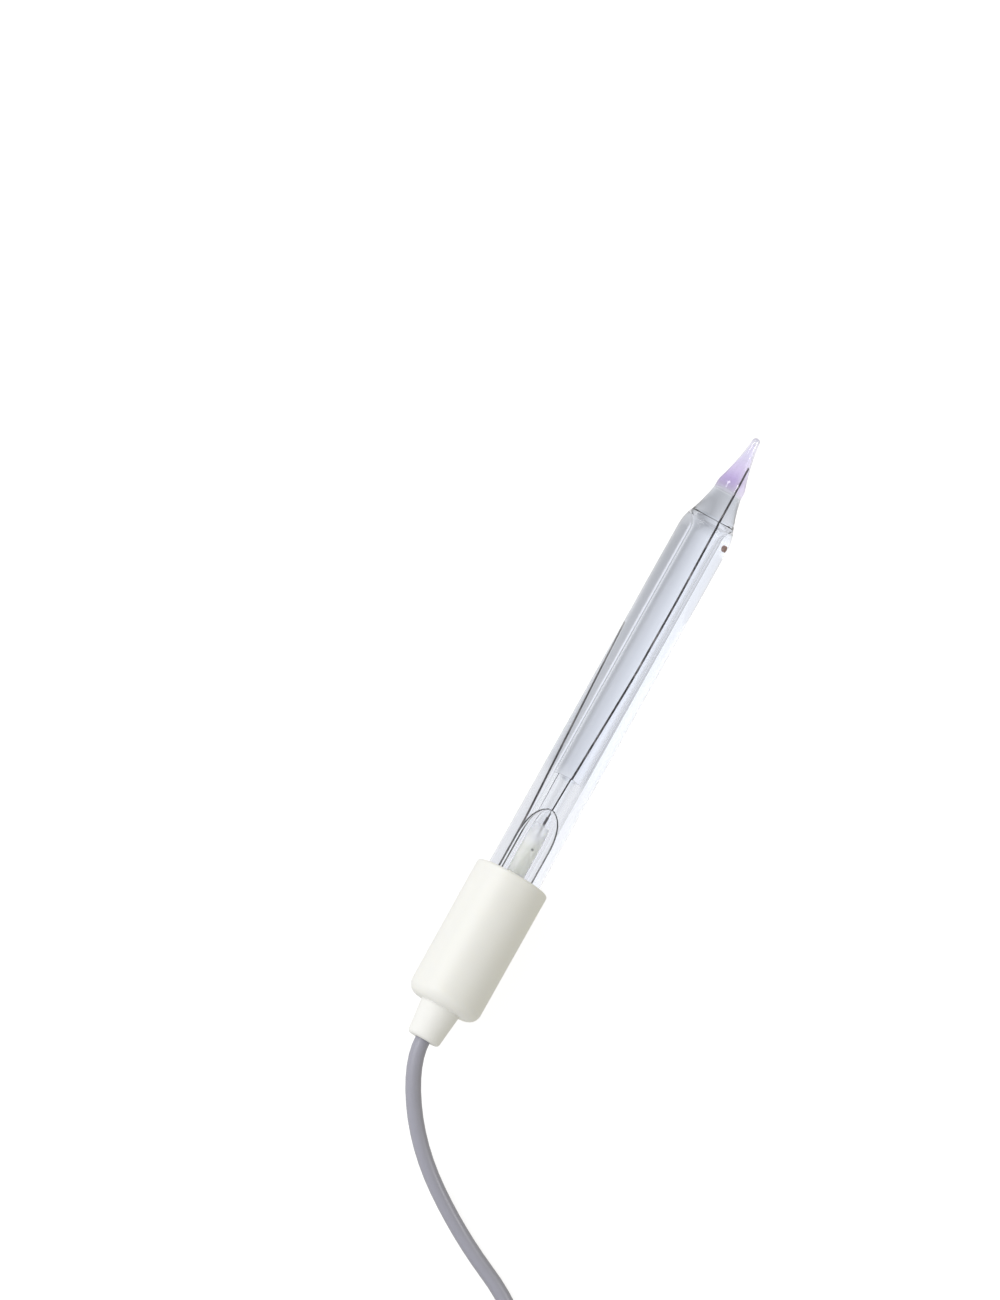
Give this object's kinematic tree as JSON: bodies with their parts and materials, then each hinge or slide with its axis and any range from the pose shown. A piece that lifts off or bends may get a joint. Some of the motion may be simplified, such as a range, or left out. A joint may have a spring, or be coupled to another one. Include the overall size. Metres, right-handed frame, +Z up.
{
  "type": "ph electrode",
  "caption": "Glass combination pH electrode with a tapered membrane tip, clear filled shaft, ivory cap and grey cable to a bayonet plug.",
  "frame": {"origin": "on the floor, under the middle of the electrode's own length and width, without its cord", "axes": "+Y along the lying electrode towards its tip, +Z up, +X to the right seen from above with the tip up"},
  "size_m": [0.0661, 0.2657, 0.0171],
  "materials": {
    "clear_glass": "clear drawn glass tube",
    "membrane_glass": "lilac pH glass",
    "junction_ceramic": "porous fired ceramic",
    "silver_wire": "dark chlorided silver",
    "potting": "cast off-white resin",
    "seal_rubber": "soft white seal",
    "buffer_liquid": "clear inner buffer",
    "electrolyte_liquid": "clear reference electrolyte",
    "cap_plastic": "satin ivory moulding",
    "relief_rubber": "matt ivory rubber",
    "cable_jacket": "smooth grey jacket",
    "core_insulation": "white core insulation",
    "copper_braid": "tinned copper strands",
    "solder": "soldered sleeve",
    "tie_strap": "woven strap",
    "boot_rubber": "matt grey rubber",
    "nickel": "nickel plate",
    "white_insulator": "turned white insulator",
    "gold_contact": "gold plate",
    "gasket_rubber": "soft red-brown rubber"
  },
  "bodies": {
    "electrode": {"shaft_tube": "clear_glass", "inner_stem": "clear_glass", "glass_membrane": "membrane_glass", "junction_pin": "junction_ceramic", "inner_wire": "silver_wire", "reference_wire": "silver_wire", "stem_plug": "potting", "annulus_seal": "seal_rubber", "inner_buffer": "buffer_liquid", "reference_electrolyte": "electrolyte_liquid", "cap": "cap_plastic", "strain_relief": "relief_rubber", "cable_core": "core_insulation", "core_joint": "solder", "shield_tail": "copper_braid", "shield_joint": "solder", "cable": "cable_jacket", "cable_coil": "cable_jacket", "coil_tie": "tie_strap", "cable_tail": "cable_jacket", "plug_boot": "boot_rubber", "crimp_ferrule": "nickel", "plug_body": "nickel", "plug_core": "core_insulation", "centre_pin": "gold_contact", "plug_insulator": "white_insulator", "retaining_ring": "nickel", "plug_gasket": "gasket_rubber"},
    "nut": {"coupling_nut": "nickel"}
  },
  "joints": [
    {"name": "nut_turn", "type": "hinge", "parent": "electrode", "child": "nut", "pos_m": [0.0024, -0.185, 0.0072], "axis": [-1, 0, 0], "continuous": true}
  ]
}
